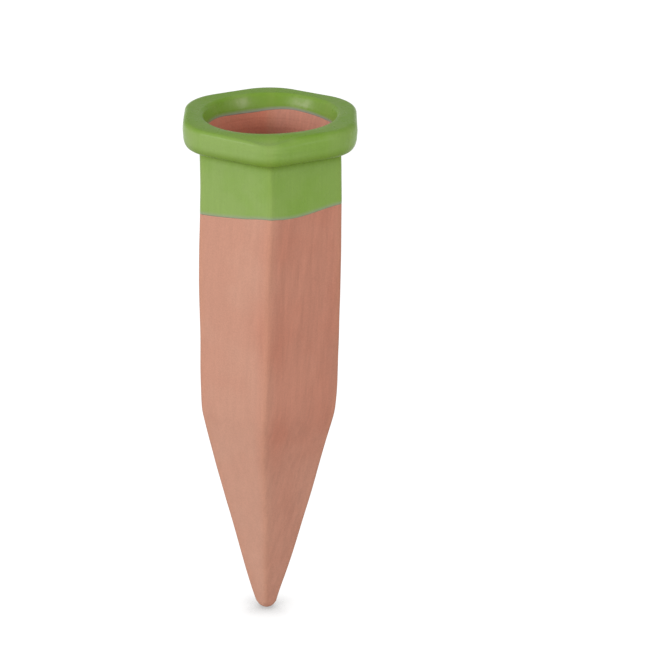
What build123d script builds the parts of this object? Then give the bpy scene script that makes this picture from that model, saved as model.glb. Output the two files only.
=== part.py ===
from build123d import *

import os
from math import asin, atan2, cos, hypot, radians, sin, tan

# Self watering spike: a hollow six-sided terracotta stake with a glazed collar.
#
# A full bottle is turned over into the mouth, its neck hangs in the hollow, and the water
# seeps through the bare clay wall into the potting soil. The real thing is one piece of
# fired clay, cast in a mould and finished by hand, whose head was dipped in glaze.
#
# Z points up along the stake, and a corner of the six-sided body faces -Y. The origin is
# on the axis, level with the glazed underside of the collar, where the spike stops when
# it is pushed into the soil. All sizes are in millimetres.

# The curves of the sides and the rounded edges are followed in short straight steps, which
# keeps the model light. At these sizes no step is a tenth of a millimetre off its curve.
side_steps = 4  # along the belly of the stake, and again round its knee
edge_steps = 4  # round each edge of the collar and round the lip

# The fired coat of glaze, which is as thick inside as outside
glaze_thickness = 0.3
glaze_pool_width = 0.5  # where the glaze gathered in the corner under the collar

# The collar, measured in the clay under the glaze
collar_height = 8.6
collar_across_flats = 59.2
collar_corner_radius = 17.5  # the collar is much rounder than the stake below it
collar_top_round = 2.2
collar_underside_round = 1.6

# The stake, measured in the clay, across flats at three heights: the sides swell a little
stake_length = 181.1  # from the clay underside of the collar to the tip
shoulder_across_flats = 47.5
belly_across_flats = 48.7
knee_across_flats = 47.2
belly_depth = 47.0  # from the underside of the collar down to the widest place
knee_depth = 97.5  # down to where the sides turn in to the point
knee_radius = 95.0
stake_corner_radius = 2.8
tip_radius = 3.8
tip_flank_angle = 25  # degrees from the axis, where the corners were rubbed down to the tip

# The hollow, round inside the six-sided wall
mouth_diameter = 47.0  # where the flare would meet the rim of the clay, if the lip were sharp
lip_radius = 1.4
flare_depth = 7.9  # the mouth narrows over this depth and seats the shoulder of a bottle
throat_diameter = 41.0
point_wall = 4.4  # square to the sides of the point
hollow_tip_radius = 3.0

# The dip lines, where the glaze ends: the head was dipped a little askew
outer_dip_depth = 21.7  # below the underside of the collar, on the axis
outer_dip_turn = (-2.4, -3.9, 0)  # degrees about X, Y and Z
inner_dip_depth = 5.0  # below the glazed rim, on the axis
inner_dip_turn = (-2.5, -0.6, 0)

# Heights worked out from the sizes
underside = glaze_thickness
clay_rim = underside + collar_height
glazed_rim = clay_rim + glaze_thickness
stake_top = (underside + clay_rim) / 2  # the stake runs up inside the collar
belly_height = underside - belly_depth
knee_height = underside - knee_depth
stake_tip = underside - stake_length
throat_top = clay_rim - flare_depth

# The sides of the point run from the knee to touch the round of the tip, and on to its end
knee_reach = knee_across_flats / 2
tip_center = stake_tip + tip_radius
knee_to_tip_center = hypot(knee_reach, knee_height - tip_center)
point_half_angle = atan2(knee_reach, knee_height - tip_center) - asin(tip_radius / knee_to_tip_center)
point_foot_reach = tip_radius * (1 - sin(point_half_angle)) / cos(point_half_angle)
point_top_reach = point_foot_reach + (stake_top - stake_tip) * tan(point_half_angle)

# The flank that rounds off the corners at the tip runs out past the widest part of the stake
flank = radians(tip_flank_angle)
flank_reach = belly_across_flats
flank_height = tip_center + (flank_reach * cos(flank) - tip_radius) / sin(flank)

# The flare of the mouth widens by this much for each millimetre that it rises
flare_slope = (mouth_diameter - throat_diameter) / 2 / flare_depth

# The hollow runs straight down to where it meets a cone as far in from the point as its wall
hollow_knee_reach = knee_reach - point_wall / cos(point_half_angle)
throat_foot = knee_height + (throat_diameter / 2 - hollow_knee_reach) / tan(point_half_angle)
hollow_center = tip_center + (hollow_tip_radius + point_wall - tip_radius) / sin(point_half_angle)
hollow_foot = hollow_center - hollow_tip_radius * sin(point_half_angle)
hollow_foot_reach = hollow_tip_radius * cos(point_half_angle)

# Inside the collar and the stake, half way through the wall, for cutting the inner glaze
mid_wall_radius = (throat_diameter + shoulder_across_flats) / 4


def points_along(curve, steps):
    """Gives evenly spaced points along a curve, with both its ends."""
    return [curve @ (step / steps) for step in range(steps + 1)]


def six_sided_form(outline, corner_radii):
    """Lofts soft-cornered hexagons, one for each point of an outline.

    A point of the outline says how far the flat sides reach from the axis, and at what height.
    """
    with BuildPart() as form:
        for point, corner_radius in zip(outline, corner_radii):
            with BuildSketch(Plane.XY.offset(point.Y)) as section:
                RegularPolygon(point.X, side_count=6, major_radius=False, rotation=30)
                fillet(section.vertices(), corner_radius)
        loft(ruled=True)
    return form.part


def point_form(growth):
    """Gives the point of the stake as a pyramid with rounded edges, carried on up to the collar.

    One wedge makes two of its six sides, and two turned copies of the wedge make the rest.
    """
    top_reach = point_top_reach + growth
    foot_reach = point_foot_reach + growth
    with BuildPart() as wedge:
        with BuildSketch(Plane.XZ):
            with BuildLine():
                Polyline(
                    (-top_reach, stake_top),
                    (top_reach, stake_top),
                    (foot_reach, stake_tip),
                    (-foot_reach, stake_tip),
                    close=True,
                )
            make_face()
        extrude(amount=2 * top_reach, both=True)
    with BuildPart() as pyramid:
        add(wedge.part)
        add(wedge.part.rotate(Axis.Z, 60), mode=Mode.INTERSECT)
        add(wedge.part.rotate(Axis.Z, 120), mode=Mode.INTERSECT)
        fillet(pyramid.edges().filter_by(Plane.XY, reverse=True), stake_corner_radius + growth)
    return pyramid.part


def stake_form(growth):
    """Gives the six-sided stake with its sides moved outwards by growth.

    Three forms are crossed: the long sides with their belly and knee, the point, and a
    round form that has the tip at its lower end.
    """
    with BuildLine() as side:
        swell = ThreePointArc(
            (shoulder_across_flats / 2 + growth, stake_top),
            (belly_across_flats / 2 + growth, belly_height),
            (knee_reach + growth, knee_height),
        )
        Line(swell @ 1, (point_foot_reach + growth, stake_tip))
        turn = side.vertices().sort_by_distance(swell @ 1)[0]
        fillet(turn, knee_radius)
    belly, knee, _ = side.edges().sort_by(Axis.Y, reverse=True)
    outline = points_along(belly, side_steps)[:-1] + points_along(knee, side_steps)
    last_step = outline[-1] - outline[-2]
    outline[-1] += last_step * ((stake_tip - outline[-1].Y) / last_step.Y)
    with BuildPart() as stake:
        add(six_sided_form(outline, [stake_corner_radius + growth] * len(outline)))
        add(point_form(growth), mode=Mode.INTERSECT)
        with BuildSketch(Plane.XZ):
            with BuildLine():
                tip = CenterArc((0, tip_center), tip_radius, -90, 90 - tip_flank_angle)
                Polyline(
                    tip @ 1,
                    (flank_reach, flank_height),
                    (flank_reach, stake_top),
                    (0, stake_top),
                    tip @ 0,
                )
            make_face()
        revolve(axis=Axis.Z, mode=Mode.INTERSECT)
    return stake.part


def collar_form(growth):
    """Gives the soft-cornered collar with its faces moved outwards by growth."""
    reach = collar_across_flats / 2 + growth
    low_round = collar_underside_round + growth
    top_round = collar_top_round + growth
    with BuildLine():
        low = CenterArc((reach - low_round, underside - growth + low_round), low_round, -90, 90)
        top = CenterArc((reach - top_round, clay_rim + growth - top_round), top_round, 0, 90)
    outline = points_along(low, edge_steps) + points_along(top, edge_steps)
    center_reach = collar_across_flats / 2 - collar_corner_radius
    return six_sided_form(outline, [point.X - center_reach for point in outline])


def pool_form():
    """Gives the glaze that gathered under the collar, as a six-sided skirt that slopes at 45 degrees.

    It is longer than what shows: its top is inside the collar and its foot inside the stake.
    """
    reach = shoulder_across_flats / 2 + glaze_thickness
    foot = Vector(reach - glaze_pool_width, -2 * glaze_pool_width)
    top = Vector(reach + 2 * glaze_pool_width, glaze_pool_width)
    corner_radius = stake_corner_radius + glaze_thickness
    return six_sided_form([foot, top], [corner_radius + point.X - reach for point in (foot, top)])


def hollow_form(growth):
    """Gives the inside as a solid with its faces moved outwards by growth.

    From the top: the rounded lip, the flare of the mouth, the straight throat, and the
    cone down to the round end inside the point.
    """
    rim = clay_rim - growth
    throat_reach = throat_diameter / 2 + growth
    with BuildLine() as mouth:
        FilletPolyline(
            (collar_across_flats / 2, rim),
            (mouth_diameter / 2 + growth - growth * flare_slope, rim),
            (throat_reach, throat_top),
            radius=lip_radius - growth,
        )
    lip = mouth.edges().filter_by(GeomType.CIRCLE)[0]
    with BuildPart() as hollow:
        with BuildSketch(Plane.XZ):
            with BuildLine():
                wall = Polyline(
                    (0, rim),
                    *points_along(lip, edge_steps),
                    (throat_reach, throat_top),
                    (throat_reach, throat_foot),
                    (hollow_foot_reach + growth, hollow_foot),
                )
                end = (0, hollow_center - hollow_tip_radius - growth)
                TangentArc(wall @ 1, end, tangent=wall % 1)
                Line(end, wall @ 0)
            make_face()
        revolve(axis=Axis.Z)
    return hollow.part


# Terracotta body: the one piece of fired clay, collar and stake together
clay_stake = stake_form(0)
clay_collar = collar_form(0)
hollow = hollow_form(0)
with BuildPart() as terracotta_body:
    add(clay_stake)
    add(clay_collar)
    add(hollow, mode=Mode.SUBTRACT)
terracotta_body.part.label = "terracotta_body"

# Where the dip never reached inside: the hollow and half its wall, below the inner dip line
inner_dip = Plane.XY.offset(glazed_rim - inner_dip_depth).rotated(inner_dip_turn)
with BuildPart() as bare_inside:
    with Locations((0, 0, glazed_rim)):
        Cylinder(mid_wall_radius, glazed_rim - stake_tip, align=(Align.CENTER, Align.CENTER, Align.MAX))
    split(bisect_by=inner_dip, keep=Keep.BOTTOM)

# Green glaze: the coat over the collar, the top of the stake and the inside of the mouth
outer_dip = Plane.XY.offset(-outer_dip_depth).rotated(outer_dip_turn)
glazed_stake = stake_form(glaze_thickness)
glazed_collar = collar_form(glaze_thickness)
glazed_pool = pool_form()
glazed_hollow = hollow_form(-glaze_thickness)
with BuildPart() as green_glaze:
    add(glazed_stake)
    add(glazed_collar)
    add(glazed_pool)
    add(glazed_hollow, mode=Mode.SUBTRACT)
    add(terracotta_body.part, mode=Mode.SUBTRACT)
    add(bare_inside.part, mode=Mode.SUBTRACT)
    split(bisect_by=outer_dip, keep=Keep.TOP)
green_glaze.part.label = "green_glaze"

os.makedirs("parts", exist_ok=True)
export_step(terracotta_body.part, "parts/terracotta_body.step")
export_step(green_glaze.part, "parts/green_glaze.step")

whole_height = glazed_rim - stake_tip
print(f"overall length {whole_height:.1f} mm, wall at the belly {(belly_across_flats - throat_diameter) / 2:.2f} mm")
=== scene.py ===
from math import atan, cos, pi, radians, sin, tan

import bpy
import numpy as np
from mathutils import Matrix, Vector


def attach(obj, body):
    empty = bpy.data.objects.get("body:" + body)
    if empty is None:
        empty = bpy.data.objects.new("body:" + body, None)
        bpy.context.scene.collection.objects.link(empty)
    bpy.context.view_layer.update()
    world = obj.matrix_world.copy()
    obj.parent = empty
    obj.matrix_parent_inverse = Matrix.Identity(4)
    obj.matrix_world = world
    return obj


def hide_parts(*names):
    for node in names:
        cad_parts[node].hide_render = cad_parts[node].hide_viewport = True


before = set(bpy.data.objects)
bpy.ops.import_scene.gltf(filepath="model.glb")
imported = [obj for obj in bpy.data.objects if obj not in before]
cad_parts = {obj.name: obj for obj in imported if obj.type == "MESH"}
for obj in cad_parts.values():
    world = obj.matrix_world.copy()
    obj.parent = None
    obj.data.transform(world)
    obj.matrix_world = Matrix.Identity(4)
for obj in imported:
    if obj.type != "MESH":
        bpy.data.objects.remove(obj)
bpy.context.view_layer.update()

# Terracotta body
# The real piece is one hollow casting of red clay: a six-sided stake with a point, and a
# soft-cornered collar round its mouth. It was sponged and sanded dry, then fired, so it is
# matt, with fine streaks down its sides and turning rings inside. Sizes are in millimetres.

clay_rim, clay_underside = 8.9, 0.3
collar_reach, collar_corner = 29.6, 17.5
collar_bulge = 0.12  # how far the side of the collar swells out at half its height
collar_low_round, collar_low_rise = 1.2, 3.4
crease_round = 0.7
lip_round = 1.4
throat_reach, throat_top = 20.5, 1.0
flare_slope, flare_bend = 0.38, 1.5
shoulder_reach, belly_reach, knee_reach = 23.75, 24.34, 23.6
shoulder_height, belly_height, knee_height = 4.6, -46.7, -97.2
stake_corner, point_corner = 1.7, 1.8
point_slope, knee_softness = 0.2467, 0.5
point_lean = atan(point_slope)
tip_round, tip_center, tip_top = 3.8, -177.0, -177.91  # from its top down the tip is round
hollow_round, hollow_center, cone_top = 3.0, -161.97, -91.4
columns_per_corner = 34

# What the hand left uneven round the collar, by the turn in degrees: 0 is at +X, on the
# right of the picture, and the front corner is at -90
collar_top_round = {
    -180: 1.5, -150: 1.5, -120: 1.4, -98: 1.3, -88: 1.6, -78: 2.7, -60: 2.9, -30: 2.2, 0: 1.6,
    60: 2.2, 120: 2.2,
}
edge_droop = {  # how far the outer top edge of the collar sank
    -180: 0.14, -150: 0.4, -120: 0.55, -102: 1.0, -90: 1.8, -80: 1.05, -70: 0.35, -60: 0.15,
    -45: 0.1, 0: 0.1, 60: 0.1, 120: 0.1, 150: 0.12,
}
lip_inward = {  # how far the lip stands inside a true circle, so the mouth is a little off round
    -150: 0, -135: 0.02, -115: 0.22, -95: 0.8, -75: 1.32, -58: 1.42, -40: 1.2, -22: 0.85,
    -5: 0.4, 12: 0.1, 30: 0, 120: 0,
}
rim_tilt, rim_sink = 0.2, 0.26  # the rim is higher at +X than at -X, and a little low all round
front_rise, front_rise_place, front_rise_width = 0.16, 5, 32  # but less low at its front
corner_setback, corner_sharpening, crisp_width = 0.7, 5.2, 22  # of the collar's front corner
edge_sag, corner_sag, corner_sag_width = 0.3, 0.45, 12  # of the collar's low edge

# What the hand left uneven along the stake, by the height
uneven_belly = {
    -97: 0, -85: 0.13, -74: 0, -60: 0.03, -45: 0.09, -30: 0.14, -20: 0.06, -12: -0.07, -4: -0.11,
}
uneven_point = {-178: 0, -166: 0.3, -145: 0.33, -130: 0.28, -120: 0.1, -105: -0.08, -90: -0.05}
stake_bow = {
    -180.8: 0.15, -174: -0.08, -165: 0, -140: 0.2, -130: 0.2, -118: 0.1, -108: 0.11, -98: 0.27,
    -90: 0.4, -82: 0.37, -70: 0.5, -46: 0.35, -37: 0.4, -25: 0.55, -16: 0.6, -8: 0.42, 0: 0.2,
}
front_corner_drift = {
    -175: 0, -150: 0.3, -130: 0.75, -112: 1.2, -92: 1.15, -75: 0.85, -52: 0.7, -35: 0.2, 0: 0,
}
drift_width = 28  # degrees to each side of the front corner


def turns_round():
    """Angles of the columns: off each corner by 30 degrees times a quarter of the share plus
    three quarters of its cube, so that the columns crowd at the corners."""
    share = np.linspace(-1, 1, columns_per_corner, endpoint=False)
    off = radians(30) * (0.25 * share + 0.75 * share ** 3)
    corners = np.radians(-90 + 60 * np.arange(6))
    return (corners[:, None] + off).ravel()[None, :]


# Of every column: its turn, and how far it is off the nearest corner, all in radians, and how
# far it is off the front corner, in degrees
turn = turns_round()
off_corner = np.abs((turn + pi / 2 + pi / 6) % (pi / 3) - pi / 6)
off_front = np.degrees((turn + pi / 2 + pi) % (2 * pi) - pi)


def rows_between(start, end, count):
    """A column of evenly spaced values from start to end, without the start, because the rows
    before these end on it."""
    return np.linspace(start, end, count)[1:, None]


def bell(values, middle, width):
    """A bell curve: the exponential of minus the square of the distance from the middle over
    the width."""
    return np.exp(-((values - middle) / width) ** 2)


def curve_through(knots, at):
    """A smooth curve through knots, given as places and values: cubics whose slope at each knot
    is that of the chords beside it. Beyond its ends it stays level."""
    place = np.array(sorted(knots), float)
    value = np.array([knots[key] for key in sorted(knots)], float)
    slope = np.gradient(value, place)
    at = np.clip(at, place[0], place[-1])
    piece = np.clip(np.searchsorted(place, at, side="right") - 1, 0, len(place) - 2)
    span = place[piece + 1] - place[piece]
    part = (at - place[piece]) / span
    level = value[piece] * (1 + 2 * part) * (1 - part) ** 2
    level = level + value[piece + 1] * part ** 2 * (3 - 2 * part)
    return level + span * part * (1 - part) * (slope[piece] * (1 - part) - slope[piece + 1] * part)


def round_the_axis(knots):
    """The closed curve through knots given as degrees of turn and values, at every column."""
    laps = {degrees + 360 * lap: value for degrees, value in knots.items() for lap in (-1, 0, 1)}
    return curve_through(laps, np.degrees(turn))


def hexagon(flat_reach, corner_round):
    """Distance from the axis to a soft-cornered hexagon. On a flat it is the reach of the flat
    over the cosine of the angle to its middle, and on a corner the far crossing of the ray
    with the circle of the corner."""
    corner_round = np.minimum(corner_round, flat_reach)
    center = (flat_reach - corner_round) / cos(pi / 6)
    on_flat = flat_reach / np.cos(pi / 6 - off_corner)
    aside = center * np.sin(off_corner)
    on_corner = center * np.cos(off_corner) + np.sqrt(np.maximum(corner_round ** 2 - aside ** 2, 0))
    edge = np.arctan2(corner_round * sin(pi / 6), center + corner_round * cos(pi / 6))
    return np.where(off_corner > edge, on_flat, on_corner)


def stake(height, growth=0.0):
    """Distance from the axis to the stake. The reach of its flats is the smooth smaller one of
    a parabola through shoulder, belly and knee, and the straight taper of the point, each
    a little uneven from the sanding."""
    swell = np.polyfit(
        [shoulder_height, belly_height, knee_height], [shoulder_reach, belly_reach, knee_reach], 2
    )
    belly = np.polyval(swell, height) + curve_through(uneven_belly, height)
    foot_reach = tip_round * (1 - sin(point_lean)) / cos(point_lean)
    taper = foot_reach + (height - tip_center + tip_round) * point_slope
    taper = taper + curve_through(uneven_point, height)
    reach = (belly + taper - np.sqrt((belly - taper) ** 2 + knee_softness ** 2)) / 2
    corner = np.interp(height, [-170, -100], [point_corner, stake_corner])
    return hexagon(reach + growth, corner + growth)


def hollow_wall(height):
    """Reach of the hollow, straight below and flaring above: the reach of the throat, plus the
    slope of the flare times its bend times the logarithm of one plus the exponential of the
    rise over the bend."""
    rise = (height - throat_top) / flare_bend
    return throat_reach + flare_slope * flare_bend * np.log1p(np.exp(rise))


def bow(height):
    """How far the stake stands off to +X from the middle of its collar: most just under the
    collar, and hardly at the tip. The clay moved a little as it dried."""
    return curve_through(stake_bow, height)


def corner_drift(height):
    """How far the front corner of the stake was sanded over to -X at a height. It fades away
    to both sides of the corner, as a bell curve of the turn."""
    return curve_through(front_corner_drift, height) * bell(off_front, 0, drift_width)


def head(growth, inside_height, outside_height, last_rows):
    """The head's surface, moved outwards by growth, as rows of distances from the axis, heights
    and shares of the bow. The rows run from inside_height up the flare, round the lip, over
    the rim, round the collar, in under it, through the crease, and down to outside_height.
    Straight runs are even steps, and rounds are cosines and sines of an angle."""
    rim, underside = clay_rim + growth, clay_underside - growth
    tilt = rim_tilt * np.cos(turn) - rim_sink
    tilt = tilt + front_rise * bell(off_front, front_rise_place, front_rise_width)
    inward, droop = round_the_axis(lip_inward), round_the_axis(edge_droop)
    sag = -edge_sag - corner_sag * bell(off_front, 0, corner_sag_width)
    crisp = bell(off_front, 0, crisp_width)

    def collar(inset):
        """Distance to the collar moved inwards, with its front corner set back and sharper."""
        return hexagon(collar_reach + growth - inset - corner_setback * crisp,
                       collar_corner + growth - inset - corner_sharpening * crisp)

    # Up the flare and round the lip
    lean = atan(flare_slope)
    lip = lip_round + growth
    lip_start = lip * tan((pi / 2 - lean) / 2)
    corner_reach = throat_reach - growth + (rim - throat_top) * flare_slope
    lip_end = corner_reach + lip_start - inward
    flare_end = rim - lip_start * cos(lean)
    step = np.linspace(0, 1, 26)[:, None]
    height = inside_height + (flare_end - inside_height) * step
    share = np.clip((height - throat_top) / (rim - throat_top), 0, 1)
    rows = [(hollow_wall(height) - growth - inward * share, height + tilt * share, 0)]
    angle = rows_between(pi - lean, pi / 2, 9)
    rows.append((lip_end + lip * np.cos(angle), rim - lip + lip * np.sin(angle) + tilt, 0))

    # Over the rim, round the top edge of the collar, down its side and round its low edge
    top = round_the_axis(collar_top_round) + growth
    low, low_rise = collar_low_round + growth, collar_low_rise + growth
    side_top, side_foot = rim - droop - top, underside + low_rise
    step = rows_between(0, 1, 6)
    ring = lip_end + (collar(collar_bulge + top) - lip_end) * step
    rows.append((ring, rim + tilt * (1 - step) - droop * step ** 2, 0))
    angle = rows_between(pi / 2, 0, 12)
    top_edge = collar(collar_bulge + top - top * np.cos(angle))
    rows.append((top_edge, side_top + top * np.sin(angle), 0))
    step = rows_between(0, 1, 8)
    side = collar(collar_bulge * (2 * step - 1) ** 2)
    rows.append((side, side_top + (side_foot - side_top) * step, 0))
    angle = rows_between(0, -pi / 2, 14)
    low_edge = collar(collar_bulge + low - low * np.cos(angle))
    rows.append((low_edge, side_foot + (low_rise - sag) * np.sin(angle), 0))

    # In under the collar, through the crease and down the stake
    low_end, crease_shade = collar(collar_bulge + low), stake(underside, growth + crease_round)
    step = rows_between(0, 1, 6)
    rows.append((low_end + (crease_shade - low_end) * step, underside + sag * (1 - step), step))
    angle = rows_between(pi / 2, pi, 8)
    crease = stake(underside, growth + crease_round * (1 + np.cos(angle)))
    rows.append((crease, underside - crease_round * (1 - np.sin(angle)), 1))
    crease_foot = underside - crease_round
    height = crease_foot + (outside_height - crease_foot) * rows_between(0, 1, last_rows)
    rows.append((stake(height, growth), height, 1))
    return rows


def turning_rings(height):
    """How far the wall of the hollow is cut deeper or shallower, as three sines of the height
    with pitches that never fall in step."""
    return (
        0.016 * np.sin(2 * pi * height / 1.13)
        + 0.014 * np.sin(2 * pi * height / 1.87 + 1.0)
        + 0.012 * np.sin(2 * pi * height / 4.3 + 2.0 + 0.6 * np.cos(turn))
    )


def hand_finish(points, size, amount, seed):
    """A soft unevenness left by the hand: the mean of plane waves in seeded directions, whose
    length is about the given size, taken at every point. On the collar, above the stake,
    it only takes clay away."""
    waves_summed = 9
    chance = np.random.default_rng(seed)
    directions = chance.normal(size=(waves_summed, 3))
    directions /= np.linalg.norm(directions, axis=1)[:, None]
    lengths = size * chance.uniform(0.7, 1.5, waves_summed)
    starts = chance.uniform(0, 2 * pi, waves_summed)
    phases = points @ (directions / lengths[:, None]).T * 2 * pi + starts
    strength, taken_away = (
        np.interp(points[:, :, 2], [-2, 0], ends) for ends in ([1, 0.5], [0, 0.28])
    )
    return amount * (np.cos(phases).mean(axis=-1) * strength - taken_away)


def grid_normals(points):
    """Outward directions on a grid of rows and columns: the cross product of the run down the
    rows and the run along the columns, both by central differences."""
    down = np.gradient(points, axis=0)
    along = np.roll(points, -1, 1) - np.roll(points, 1, 1)
    normals = np.cross(down, along)
    return normals / np.maximum(np.linalg.norm(normals, axis=2), 1e-9)[:, :, None]


def place_rows(rows):
    """The grid of points of a list of rows, each given as distances from the axis, heights and
    shares of the bow. A point stands at its distance times the cosine and the sine of its
    turn, moved along X by its share of the bow, and along its normal by the hand finish."""
    spread = [np.broadcast_arrays(reach, height, share, turn * np.ones_like(height * reach))
              for reach, height, share in rows]
    reach, height, share, around = (np.concatenate(parts) for parts in zip(*spread))
    aside = share * (bow(height) - corner_drift(height))
    points = np.stack([reach * np.cos(around) + aside, reach * np.sin(around), height], axis=2)
    finish = hand_finish(points, size=34, amount=0.2, seed=5)
    finish = finish + hand_finish(points, size=13, amount=0.07, seed=6)
    return points + grid_normals(points) * finish[:, :, None]


def surface_piece(name, points, ends_meet):
    """Makes a closed piece from a grid of points whose columns run round the axis. Either its
    last row joins its first, or its first and last rows are each drawn to a pole."""
    rows, columns = points.shape[:2]
    index = np.arange(rows * columns).reshape(rows, columns)
    if ends_meet:
        here, below = index, np.roll(index, -1, 0)
    else:
        here, below = index[:-1], index[1:]
    quads = np.stack([here, below, np.roll(below, -1, 1), np.roll(here, -1, 1)], axis=2)
    quads = quads.reshape(-1, 4)
    vertices = points.reshape(-1, 3)
    fans = np.zeros((0, 3), int)
    if not ends_meet:
        first, last = len(vertices), len(vertices) + 1
        poles = [points[0].mean(axis=0), points[-1].mean(axis=0)]
        vertices = np.concatenate([vertices, poles])
        top, bottom = index[0], index[-1]
        fans = np.concatenate([
            np.stack([np.full(columns, first), top, np.roll(top, -1)], axis=1),
            np.stack([np.full(columns, last), np.roll(bottom, -1), bottom], axis=1),
        ])
    mesh = bpy.data.meshes.new(name)
    mesh.vertices.add(len(vertices))
    mesh.vertices.foreach_set("co", (vertices / 1000).ravel())
    corners = np.concatenate([quads.ravel(), fans.ravel()])
    mesh.loops.add(len(corners))
    mesh.loops.foreach_set("vertex_index", corners)
    starts = np.concatenate([4 * np.arange(len(quads)), 4 * len(quads) + 3 * np.arange(len(fans))])
    mesh.polygons.add(len(starts))
    mesh.polygons.foreach_set("loop_start", starts)
    mesh.update(calc_edges=True)
    mesh.validate()
    mesh.shade_smooth()
    piece = bpy.data.objects.new(name, mesh)
    bpy.context.scene.collection.objects.link(piece)
    return piece


def paint(piece, name, values):
    """Keeps one number for every point of a piece, for its material to read. Poles get the
    last number."""
    numbers = np.full(len(piece.data.vertices), values.ravel()[-1], np.float32)
    numbers[:values.size] = values.ravel()
    piece.data.attributes.new(name, "FLOAT", "POINT").data.foreach_set("value", numbers)


# The rows of the clay, from the bottom of the hollow up to the mouth and down to the tip,
# closer together where the surface bends or shows
band_foot, band_rows = -30.0, 26
dome = rows_between(-pi / 2, -point_lean, 8)
cone_foot = hollow_center - hollow_round * sin(point_lean)
cone = rows_between(cone_foot, cone_top, 26)
cone_ends = [hollow_round * cos(point_lean), throat_reach]
wall = np.concatenate([
    rows_between(cone_top, -40, 22), rows_between(-40, -24, 20),
    rows_between(-24, throat_top, 92)[:-1],
])
sides = np.concatenate([
    rows_between(band_foot, -80, 22), rows_between(-80, -116, 32), rows_between(-116, -168, 24),
    rows_between(-168, tip_top, 14),
])
cap = rows_between(-point_lean, -pi / 2, 12)[:-1]
clay_points = place_rows([
    (hollow_round * np.cos(dome), hollow_center + hollow_round * np.sin(dome), 0),
    (np.interp(cone, [cone_foot, cone_top], cone_ends), cone, 0),
    (hollow_wall(wall) + turning_rings(wall), wall, 0),
    *head(0.0, throat_top, band_foot, band_rows),
    (stake(sides), sides, 1),
    (tip_round * np.cos(cap), tip_center + tip_round * np.sin(cap), 1),
])
clay = surface_piece("clay_body", clay_points, False)
clay_reach = np.hypot(clay_points[:, :, 0], clay_points[:, :, 1])
clay_height = clay_points[:, :, 2]

# The clay is more orange and the glaze paler along their corners, over this distance to each side
corner_band_width = 1.5
paint(clay, "corner_band", bell(off_corner * clay_reach, 0, corner_band_width))

# The +X side is painted redder, a painted shade on the side that the key lamp hardly reaches, and
# four blotches near the front corner are redder clay. Each is given by its degrees off that corner,
# how far it spreads round, its height and how far it spreads up and down.
plus_x_side = np.clip(0.5 + 3.0 * np.cos(turn), 0, 1)
blotch_strength = 0.4
blotches = sum(
    bell(off_front, side, width) * bell(clay_height, level, rise)
    for side, width, level, rise in (
        (11, 10, -102, 9), (28, 16, -133, 9), (5, 9, -72, 6), (-6, 9, -60, 8))
)
paint(clay, "plus_x_side_and_blotches", plus_x_side + blotch_strength * blotches)

# Inside are the rows of the hollow and the first ones of the flare
flare_rows, flare_width = 20, 3
inner_rows = len(dome) + len(cone) + len(wall) + flare_rows
row_number = np.arange(len(clay_points))[:, None]
inside = (clay_reach < throat_reach + flare_width) & (row_number < inner_rows)
paint(clay, "inside", 1.0 * inside)


def add_node(tree, kind, settings=None, inputs=None):
    """Adds a shader node with its settings, and links or sets each of the given inputs."""
    made = tree.nodes.new(kind)
    for name, value in (settings or {}).items():
        setattr(made, name, value)
    for name, value in (inputs or {}).items():
        if isinstance(value, bpy.types.NodeSocket):
            tree.links.new(value, made.inputs[name])
        else:
            made.inputs[name].default_value = value
    return made


def calculate(tree, operation, *values):
    """A Math node on the values given, clamped to nothing."""
    inputs = dict(enumerate(values))
    return add_node(tree, "ShaderNodeMath", {"operation": operation}, inputs).outputs[0]


def multiply(tree, first, second):
    """The product of two values."""
    return calculate(tree, "MULTIPLY", first, second)


def weigh(tree, first, first_weight, second, second_weight):
    """The sum of two values, each times its weight."""
    return calculate(tree, "ADD", multiply(tree, first, first_weight),
                     multiply(tree, second, second_weight))


def stretch(tree, value, low, high, to_low=0.0, to_high=1.0):
    """Maps low..high softly to to_low..to_high, and stops there."""
    return add_node(tree, "ShaderNodeMapRange", {"interpolation_type": "SMOOTHSTEP"}, {
        "Value": value, "From Min": low, "From Max": high, "To Min": to_low, "To Max": to_high,
    }).outputs[0]


def blend_colors(tree, share, first, second, blend="MIX"):
    """Blends from the first colour to the second by the share, in the named way."""
    return add_node(tree, "ShaderNodeMix", {"data_type": "RGBA", "blend_type": blend},
                    {0: share, 6: first, 7: second}).outputs[2]


def darken(tree, color, shade):
    """The colour with all its channels multiplied by the shade."""
    tone = add_node(tree, "ShaderNodeCombineXYZ", None, {"X": shade, "Y": shade, "Z": shade})
    return blend_colors(tree, 1.0, color, tone.outputs[0], "MULTIPLY")


def new_material(name):
    """A material without nodes, and its node tree."""
    made = bpy.data.materials.new(name)
    made.use_nodes = True
    made.node_tree.nodes.clear()
    return made, made.node_tree


def attribute(tree, name):
    """The number painted on the piece under this name."""
    return add_node(tree, "ShaderNodeAttribute", {"attribute_name": name}).outputs["Fac"]


# Streaks of the sponge and the sandpaper, for the clay and, fainter, through its glaze.
# They are noise drawn out along the stake; the pitch and length are in millimetres.
streaks = bpy.data.node_groups.new("sanding_streaks", "ShaderNodeTree")
for socket, value in (("Pitch", 1.0), ("Length", 20.0), ("Lean", 0.0), ("Seed", 0.0)):
    streaks.interface.new_socket(
        socket, in_out="INPUT", socket_type="NodeSocketFloat").default_value = value
streaks.interface.new_socket("Mask", in_out="OUTPUT", socket_type="NodeSocketFloat")
group_in = streaks.nodes.new("NodeGroupInput").outputs
group_out = streaks.nodes.new("NodeGroupOutput").inputs
place = add_node(streaks, "ShaderNodeTexCoord").outputs["Object"]
along_axes = add_node(streaks, "ShaderNodeSeparateXYZ", None, {0: place}).outputs
leaned = calculate(streaks, "SUBTRACT", along_axes["X"],
                   multiply(streaks, along_axes["Z"], group_in["Lean"]))
across = calculate(streaks, "DIVIDE", 1000.0, group_in["Pitch"])
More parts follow.
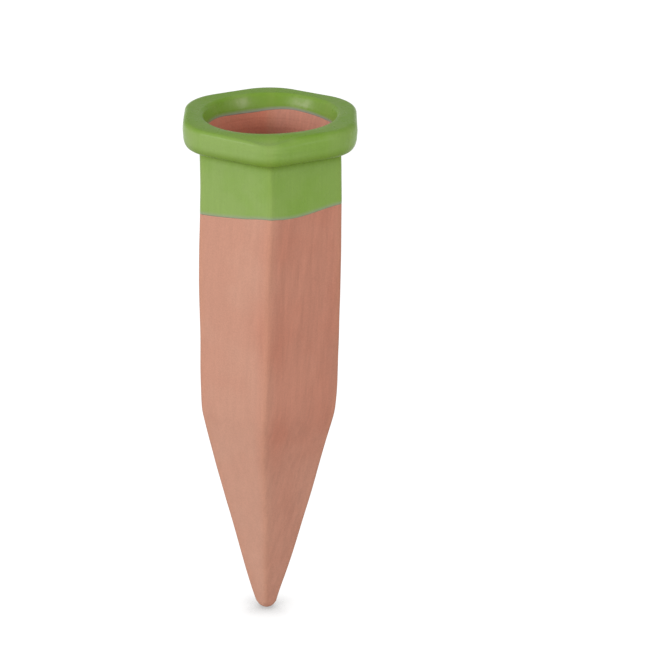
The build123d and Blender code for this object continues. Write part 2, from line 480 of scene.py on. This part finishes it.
along = calculate(streaks, "DIVIDE", 1000.0, group_in["Length"])
drawn_out = add_node(streaks, "ShaderNodeCombineXYZ", None, {
    "X": multiply(streaks, leaned, across),
    "Y": multiply(streaks, along_axes["Y"], across),
    "Z": calculate(streaks, "ADD", multiply(streaks, along_axes["Z"], along), group_in["Seed"]),
}).outputs[0]
noise = add_node(streaks, "ShaderNodeTexNoise", None, {
    "Vector": drawn_out, "Scale": 1.0, "Detail": 3.0, "Roughness": 0.6, "Distortion": 0.3})
streaks.links.new(stretch(streaks, noise.outputs["Fac"], 0.28, 0.72), group_out["Mask"])


def streak_mask(tree, pitch, length, lean, seed):
    """Streaks of a pitch and a length, leaning over by a share of the height, from 0 to 1."""
    return add_node(tree, "ShaderNodeGroup", {"node_tree": streaks}, {
        "Pitch": pitch, "Length": length, "Lean": lean, "Seed": seed}).outputs["Mask"]


def cloud(tree, size, seed, detail=3.0):
    """Soft noise whose patches measure about size millimetres, from 0 to 1."""
    place = add_node(tree, "ShaderNodeTexCoord").outputs["Object"]
    moved = add_node(tree, "ShaderNodeMapping", None, {
        "Vector": place, "Location": (seed, seed * 0.7, -seed), "Scale": (1000 / size,) * 3,
    }).outputs[0]
    made = add_node(tree, "ShaderNodeTexNoise", None, {
        "Vector": moved, "Scale": 1.0, "Detail": detail, "Roughness": 0.55})
    return stretch(tree, made.outputs["Fac"], 0.3, 0.7)


clay_material, tree = new_material("terracotta_matt")
pale_clay, red_clay = (0.60, 0.315, 0.228, 1), (0.545, 0.228, 0.156, 1)
orange_clay, dusty_clay = (0.60, 0.29, 0.19, 1), (0.632, 0.345, 0.252, 1)
inner_shade_clay, inner_lit_clay = (0.64, 0.228, 0.15, 1), (0.62, 0.285, 0.21, 1)
place = add_node(tree, "ShaderNodeTexCoord").outputs["Object"]
height = add_node(tree, "ShaderNodeSeparateXYZ", None, {0: place}).outputs["Z"]
plus_x_side_and_blotches = attribute(tree, "plus_x_side_and_blotches")

# Outside the clay is pale, dustier on the point, redder in its blotches, and painted redder at +X
# as shade
on_point = stretch(tree, height, -0.130, -0.094, 1.0, 0.0)
unreddened = blend_colors(tree, on_point, pale_clay, dusty_clay)
patchy = stretch(tree, cloud(tree, size=26, seed=3.1), 0.15, 0.95, 0.0, 0.2)
redness = calculate(tree, "ADD", multiply(tree, plus_x_side_and_blotches, 0.72), patchy)
left_on_point = calculate(tree, "SUBTRACT", 1.0, multiply(tree, on_point, 0.4))
color = blend_colors(tree, multiply(tree, redness, left_on_point), unreddened, red_clay)

# Inside it is painted redder as shade in the hollow, and paler near the mouth at +X as painted
# light
lit_inner_side = stretch(tree, plus_x_side_and_blotches, 0.0, 1.0, 0.1, 1.0)
near_mouth = stretch(tree, height, -0.012, 0.002)
mouth_clay = blend_colors(tree, multiply(tree, lit_inner_side, near_mouth), inner_shade_clay, inner_lit_clay)
color = blend_colors(tree, attribute(tree, "inside"), color, mouth_clay)
corner_share = multiply(tree, attribute(tree, "corner_band"), 0.35)
color = blend_colors(tree, corner_share, color, orange_clay)

# Fine upright streaks, slanting coarser ones and grain shade it, most at +X and in the blotches
fine = streak_mask(tree, pitch=1.1, length=22.0, lean=0.0, seed=4.0)
slant = streak_mask(tree, pitch=2.6, length=34.0, lean=0.14, seed=9.0)
grain = cloud(tree, size=0.55, seed=7.7, detail=2.0)
mean_streak = 0.065
shade = calculate(tree, "SUBTRACT", weigh(tree, fine, 0.05, slant, 0.08), mean_streak)
shade = multiply(tree, shade, stretch(tree, plus_x_side_and_blotches, 0.0, 1.0, 0.55, 1.3))
shade = calculate(tree, "ADD", shade, 1.0)
shade = calculate(tree, "ADD", shade, stretch(tree, grain, 0.0, 1.0, -0.03, 0.03))
color = darken(tree, color, shade)
relief = weigh(tree, fine, 0.5, grain, 0.35)
roughness = stretch(tree, slant, 0.0, 1.0, 0.8, 0.95)
bump = add_node(tree, "ShaderNodeBump", None, {
    "Height": relief, "Distance": 0.00006, "Strength": 0.6})
shader = add_node(tree, "ShaderNodeBsdfPrincipled", None, {
    "Base Color": color, "Roughness": roughness, "Normal": bump.outputs[0], "IOR": 1.3,
    "Specular IOR Level": 0.2})
add_node(tree, "ShaderNodeOutputMaterial", None, {"Surface": shader.outputs[0]})
clay.data.materials.append(clay_material)
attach(clay, "root")
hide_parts("terracotta_body")

# Green glaze
# The real piece is a fired coat of satin leaf-green glaze, three tenths of a millimetre thick. The
# head was dipped in it a little askew, so both of its edges are tilted; it is thin and greyish at
# its edges. Painted shade darkens it in the crease and under the collar.

glaze_thickness = 0.3
glaze_root = 0.03  # how deep the back of the coat lies in the clay
blunt_width = 0.15
thinnest = 0.25  # share of the thickness that the coat keeps next to its edges
inner_thinning, outer_thinning = 2.0, 21.0  # how far from its edges the coat is full

# Heights of the dip lines, by the turn in degrees
outer_dip_line = {
    -160: -23.5, -146: -23.3, -137: -23.0, -124: -22.4, -110: -21.7, -97: -20.7, -91: -20.4,
    -80: -20.9, -68: -21.0, -56: -20.5, -42: -19.6, -32: -19.1, -5: -19.5, 30: -20.4, 60: -21.9,
    90: -22.6, 120: -23.4, 150: -23.0, 180: -23.5,
}
inner_dip_line = {
    -160: 3.9, -120: 4.6, -80: 5.0, -40: 4.9, 0: 4.3, 29: 3.4, 54: 3.45, 72: 3.75, 90: 3.25,
    105: 2.6, 124: 2.6, 147: 3.3, 175: 3.6,
}

# The coat's outer face is drawn back to the inner one where it thins, and ends bluntly
outer_dip, inner_dip = round_the_axis(outer_dip_line), round_the_axis(inner_dip_line)
coat_band_rows = 44
coat_out, coat_in = (
    place_rows(head(growth, inner_dip, outer_dip, coat_band_rows))
    for growth in (glaze_thickness, -glaze_root)
)
runs = np.linalg.norm(np.diff(coat_out, axis=0), axis=2)
from_inner = np.concatenate([np.zeros_like(turn), np.cumsum(runs, axis=0)])
from_outer = from_inner[-1:] - from_inner
near_edge = np.minimum(from_inner, from_outer)
blunt_end = np.sqrt(1 - (1 - np.clip(near_edge / blunt_width, 0, 1)) ** 2)
thinning = np.minimum(from_inner / inner_thinning, from_outer / outer_thinning)
fullness = blunt_end * (thinnest + (1 - thinnest) * np.clip(thinning, 0, 1))
coat_out = coat_in + (coat_out - coat_in) * fullness[:, :, None]
coat = surface_piece("glaze_coat", np.concatenate([coat_out, coat_in[-2:0:-1]]), True)
coat_reach = np.hypot(coat_out[:, :, 0], coat_out[:, :, 1])
coat_height = coat_out[:, :, 2]


def paint_coat(name, values):
    """Keeps the numbers of the outer face of the coat, and the same for the face behind it."""
    paint(coat, name, np.concatenate([values, values[-2:0:-1]]))


# The grey line along the inner edge is narrower at the back right, and fainter on the left as
# painted shade
narrowing = 1.15 + 0.4 * np.cos(turn - radians(30))
shade_fading = 0.9 * np.maximum(-np.cos(turn - radians(20)), 0)
paint_coat("from_inner_edge", from_inner * narrowing + shade_fading)
paint_coat("from_outer_edge", from_outer)
paint_coat("corner_band", bell(off_corner * coat_reach, 0, corner_band_width))

# Distance from a line in the crease, round which shade is painted. Under the collar it counts by
# the height alone, so that the painted shade covers the whole underside.
shade_line = 0.5  # this far out from the stake, and this far down
crease_gap = np.hypot(coat_reach - stake(0.0, glaze_thickness + shade_line),
                      coat_height + shade_line)
underside_starts, underside_blend = 26.5, 1.5
under_collar = np.clip((coat_reach - underside_starts) / underside_blend, 0, 1)
under_collar = under_collar * (coat_height > -1)
by_height = np.minimum(crease_gap, 0.6 + 0.95 * coat_height)
paint_coat("crease_gap", crease_gap + under_collar * (by_height - crease_gap))

# Two painted highlights at the back of the mouth, by their turns in degrees
in_mouth = coat_reach < 24.5
highlight_turns, highlight_width = (61, 119), 11
highlight_level, highlight_rise = 6.3, 1.7
highlight_strength = 0.6
painted_highlight = sum(bell(np.degrees(turn), middle, highlight_width) for middle in highlight_turns)
painted_highlight = painted_highlight * bell(coat_height, highlight_level, highlight_rise)
paint_coat("painted_highlight", highlight_strength * painted_highlight * in_mouth)

# The green is painted deeper as shade inside the mouth, most at -X, on the rim, and at +X
mouth_shade = 0.75 - 0.35 * np.minimum(np.cos(turn), 0)
on_rim = np.interp(coat_height, [7.2, 9.0], [0, 1])
outer_shade = np.maximum(on_rim, 0.45 * plus_x_side)
paint_coat("painted_shade_depth", np.where(in_mouth & (coat_height > 1), mouth_shade, outer_shade))

glaze_material, tree = new_material("green_glaze_satin")
leaf_green, deep_green = (0.27, 0.398, 0.107, 1), (0.194, 0.356, 0.036, 1)
crease_shade_green, corner_green = (0.145, 0.25, 0.012, 1), (0.32, 0.395, 0.10, 1)
highlight_green, edge_lilac = (0.44, 0.52, 0.26, 1), (0.33, 0.335, 0.295, 1)
# Painted shade makes the green deeper, and random patches vary it
patchy = stretch(tree, cloud(tree, size=14, seed=1.3), 0.1, 0.9, -0.05, 0.2)
shade_and_mottle = calculate(tree, "ADD", multiply(tree, attribute(tree, "painted_shade_depth"), 0.9), patchy)
color = blend_colors(tree, shade_and_mottle, leaf_green, deep_green)
# Painted shade in the crease and under the collar
crease_shade = stretch(tree, attribute(tree, "crease_gap"), 0.1, 3.9, 0.95, 0.0)
color = blend_colors(tree, crease_shade, color, crease_shade_green)
corner_share = multiply(tree, attribute(tree, "corner_band"), 0.12)
color = blend_colors(tree, corner_share, color, corner_green)
# Painted highlights at the back of the mouth
highlight_share = multiply(tree, attribute(tree, "painted_highlight"),
                     stretch(tree, cloud(tree, size=4.0, seed=2.7), 0.2, 0.8, 0.45, 1.0))
color = blend_colors(tree, highlight_share, color, highlight_green)
inner_line = stretch(tree, attribute(tree, "from_inner_edge"), 0.3, 2.3, 0.9, 0.0)
outer_line = stretch(tree, attribute(tree, "from_outer_edge"), 0.0, 1.9, 0.66, 0.0)
edge_line = calculate(tree, "MAXIMUM", inner_line, outer_line)
color = blend_colors(tree, edge_line, color, edge_lilac)

# The streaks of the clay show faintly through it, and its satin surface is a little wavy
fine = streak_mask(tree, pitch=1.0, length=16.0, lean=0.0, seed=14.0)
color = darken(tree, color, stretch(tree, fine, 0.0, 1.0, 0.98, 1.015))
relief = weigh(tree, fine, 0.4, cloud(tree, size=2.2, seed=5.0), 0.6)
roughness = stretch(tree, cloud(tree, size=5.0, seed=8.8), 0.0, 1.0, 0.26, 0.36)
bump = add_node(tree, "ShaderNodeBump", None, {
    "Height": relief, "Distance": 0.00005, "Strength": 0.6})
shader = add_node(tree, "ShaderNodeBsdfPrincipled", None, {
    "Base Color": color, "Roughness": roughness, "Normal": bump.outputs[0], "IOR": 1.24})
add_node(tree, "ShaderNodeOutputMaterial", None, {"Surface": shader.outputs[0]})
coat.data.materials.append(glaze_material)
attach(coat, "root")
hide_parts("green_glaze")

# Floor
# Not part of the object: a plain white floor that the tip of the spike stands on. The camera sees
# it as white paper that keeps a light shadow, with a painted shadow round the tip.

floor_half, floor_level = 4.0, (tip_center - tip_round) / 1000
floor_corners = [(x * floor_half, y * floor_half, floor_level)
                 for x, y in ((-1, -1), (1, -1), (1, 1), (-1, 1))]
floor_mesh = bpy.data.meshes.new("floor")
floor_mesh.from_pydata(floor_corners, [], [(0, 1, 2, 3)])
floor = bpy.data.objects.new("floor", floor_mesh)
bpy.context.scene.collection.objects.link(floor)
paper, tree = new_material("white_paper")
seen = add_node(tree, "ShaderNodeLightPath").outputs
straight = calculate(tree, "MAXIMUM", seen["Is Glossy Ray"], seen["Is Transmission Ray"])
straight = calculate(tree, "MAXIMUM", seen["Is Camera Ray"], straight)
lit = add_node(tree, "ShaderNodeBsdfDiffuse", None, {"Color": (0.64, 0.64, 0.64, 1)})
# Painted shadow round the tip, darker where the spike is near
painted_tip_shadow = add_node(tree, "ShaderNodeAmbientOcclusion", {"samples": 4}, {"Distance": 0.012})
white = add_node(tree, "ShaderNodeEmission", None, {
    "Color": (1, 1, 1, 1), "Strength": stretch(tree, painted_tip_shadow.outputs["AO"], 0.35, 0.95, 0.6, 1.36)})
mixed = add_node(tree, "ShaderNodeMixShader", None, {
    0: multiply(tree, straight, 0.7), 1: lit.outputs[0], 2: white.outputs[0]})
add_node(tree, "ShaderNodeOutputMaterial", None, {"Surface": mixed.outputs[0]})
floor_mesh.materials.append(paper)

# Light
# Not part of the object: a wide soft key lamp from the left front, a large weak one from the
# front, a small one from the right front, and white walls all round, which are a little
# dimmer behind, under a ceiling of a little over half their light.

world = bpy.data.worlds.new("studio")
bpy.context.scene.world = world
world.use_nodes = True
tree = world.node_tree
tree.nodes.clear()
direction = add_node(tree, "ShaderNodeTexCoord").outputs["Generated"]
along_axes = add_node(tree, "ShaderNodeSeparateXYZ", None, {0: direction}).outputs
walls = stretch(tree, along_axes["Y"], -0.3, 0.5, 1.0, 0.75)
ceiling = stretch(tree, along_axes["Y"], -0.3, 0.5, 0.56, 0.47)
air = stretch(tree, along_axes["Z"], 0.10, 0.32, walls, ceiling)
sky = add_node(tree, "ShaderNodeBackground", None, {"Color": (1, 1, 1, 1), "Strength": air})
add_node(tree, "ShaderNodeOutputWorld", None, {"Surface": sky.outputs[0]})
lamp_aim = Vector((0, 0, -0.06))


def soft_lamp(name, azimuth, elevation, distance, size, level):
    """A soft lamp, of a width and a height, that looks at the middle of the spike. A level of
    1 lights a surface that faces it so that its colour renders as written."""
    azimuth, elevation = radians(azimuth), radians(elevation)
    away = Vector((cos(azimuth) * cos(elevation), sin(azimuth) * cos(elevation), sin(elevation)))
    facing = away.to_track_quat("Z", "Y").to_matrix().to_4x4()
    lamp = bpy.data.lights.new(name, "AREA")
    lamp.shape, lamp.size, lamp.size_y = "RECTANGLE", *size
    lamp.energy = level * pi * pi * distance ** 2
    lamp_object = bpy.data.objects.new(name, lamp)
    lamp_object.matrix_world = Matrix.Translation(lamp_aim + away * distance) @ facing
    bpy.context.scene.collection.objects.link(lamp_object)


soft_lamp("key_lamp", azimuth=-146, elevation=22, distance=1.2, size=(0.85, 0.24), level=0.39)
soft_lamp("front_lamp", azimuth=-75, elevation=14, distance=1.3, size=(0.9, 0.9), level=0.15)
soft_lamp("right_lamp", azimuth=-38, elevation=22, distance=1.2, size=(0.26, 0.26), level=0.095)

# Camera
# Not part of the object: a long lens, a metre away and 22.5 degrees above the middle of the
# spike. It aims a little past the spike, which stands left of the middle of the picture.

camera_aim = Vector((0, 0, -0.08))
camera_distance, camera_elevation, camera_azimuth = 1.0, radians(22.518), radians(0.5)
camera_yaw, camera_pitch, camera_roll = radians(1.095), radians(0.621), radians(0.488)
focal_pixels, picture_pixels, sensor_width = 2819.66, 645, 36.0


def turned(first, second, angle):
    """Two directions turned in their plane by the angle, from the first towards the second."""
    return first * cos(angle) + second * sin(angle), second * cos(angle) - first * sin(angle)


away = Vector((
    sin(camera_azimuth) * cos(camera_elevation), -cos(camera_azimuth) * cos(camera_elevation),
    sin(camera_elevation),
))
ahead = -away
right = ahead.cross(Vector((0, 0, 1))).normalized()
up = right.cross(ahead)
ahead, right = turned(ahead, right, camera_yaw)
ahead, up = turned(ahead, up, camera_pitch)
right, up = turned(right, up, camera_roll)
lens = bpy.data.cameras.new("camera")
lens.sensor_width = sensor_width
lens.lens = focal_pixels / picture_pixels * sensor_width
camera = bpy.data.objects.new("camera", lens)
facing = Matrix((right, up, -ahead)).transposed().to_4x4()
camera.matrix_world = Matrix.Translation(camera_aim + away * camera_distance) @ facing
bpy.context.scene.collection.objects.link(camera)
bpy.context.scene.camera = camera
bpy.context.scene.view_settings.view_transform = "Standard"
